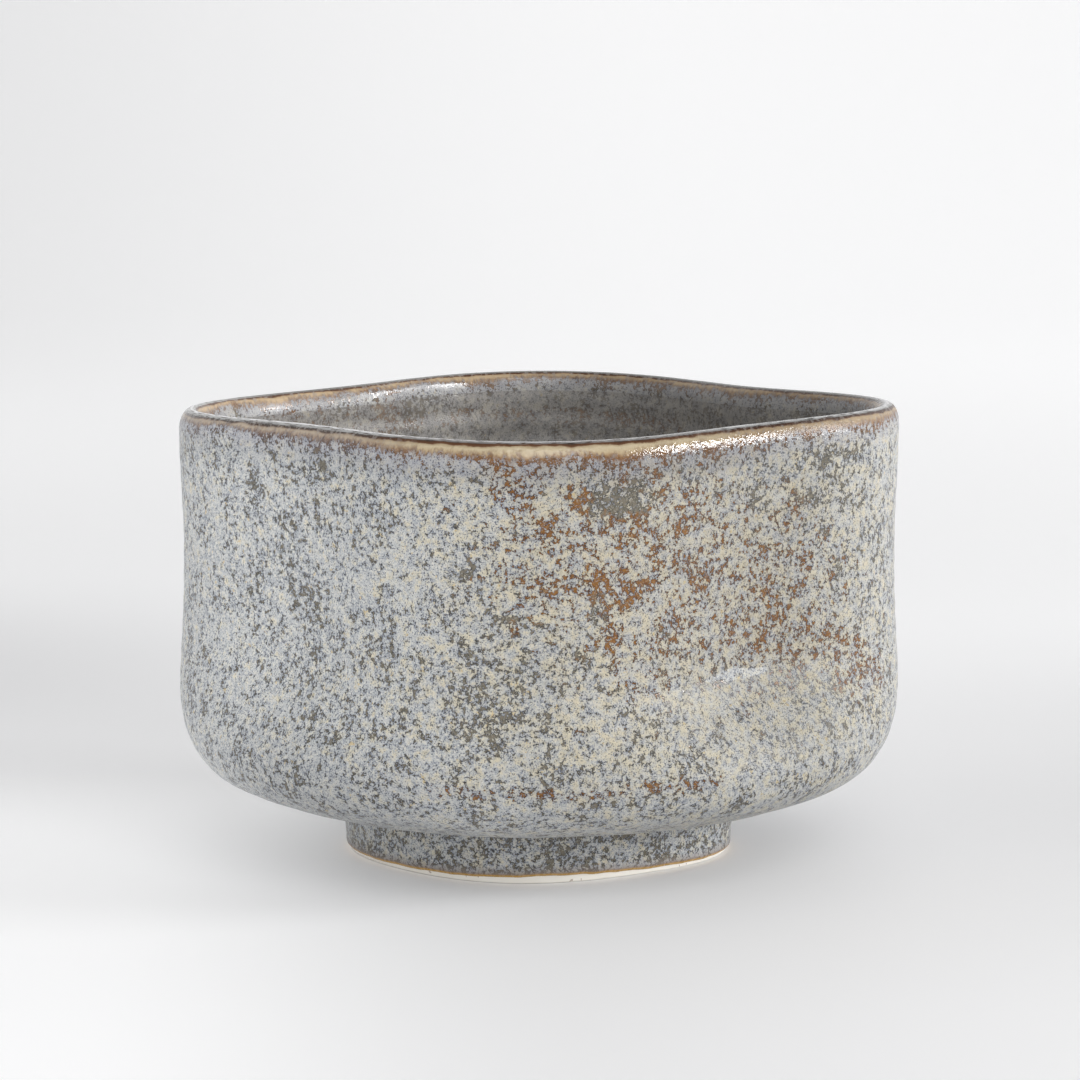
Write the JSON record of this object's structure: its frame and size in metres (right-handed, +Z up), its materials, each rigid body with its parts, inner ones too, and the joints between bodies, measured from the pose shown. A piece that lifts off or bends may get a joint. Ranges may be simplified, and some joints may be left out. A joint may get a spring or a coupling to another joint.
{
  "type": "tea bowl",
  "caption": "Hand-shaped ceramic tea bowl with a softly four-cornered mouth, a low foot ring and a speckled grey glaze that breaks to tan on the lip; holds whisked tea",
  "frame": {"origin": "on the table under the middle of the mouth, at the height of the foot ring's contact face", "axes": "+X to the right, -Y to the front, +Z up through the mouth; the mouth's four corners point along X and Y, turned 4 degrees about Z"},
  "size_m": [0.1212, 0.1205, 0.076],
  "materials": {
    "bare_clay": "matt unglazed white stoneware clay",
    "speckled_glaze": "satin-gloss grey-blue and cream speckled glaze with rust and olive patches",
    "lip_glaze": "glossy glaze broken to cream and tan with a brown fringe",
    "inner_glaze": "glossy mottled grey-blue and brown glaze"
  },
  "bodies": {
    "root": {"bowl_body": "bare_clay", "foot_ring": "bare_clay", "outer_glaze": "speckled_glaze", "foot_glaze": "speckled_glaze", "foot_well_glaze": "speckled_glaze", "lip_glaze": "lip_glaze", "inner_glaze": "inner_glaze"}
  },
  "joints": []
}
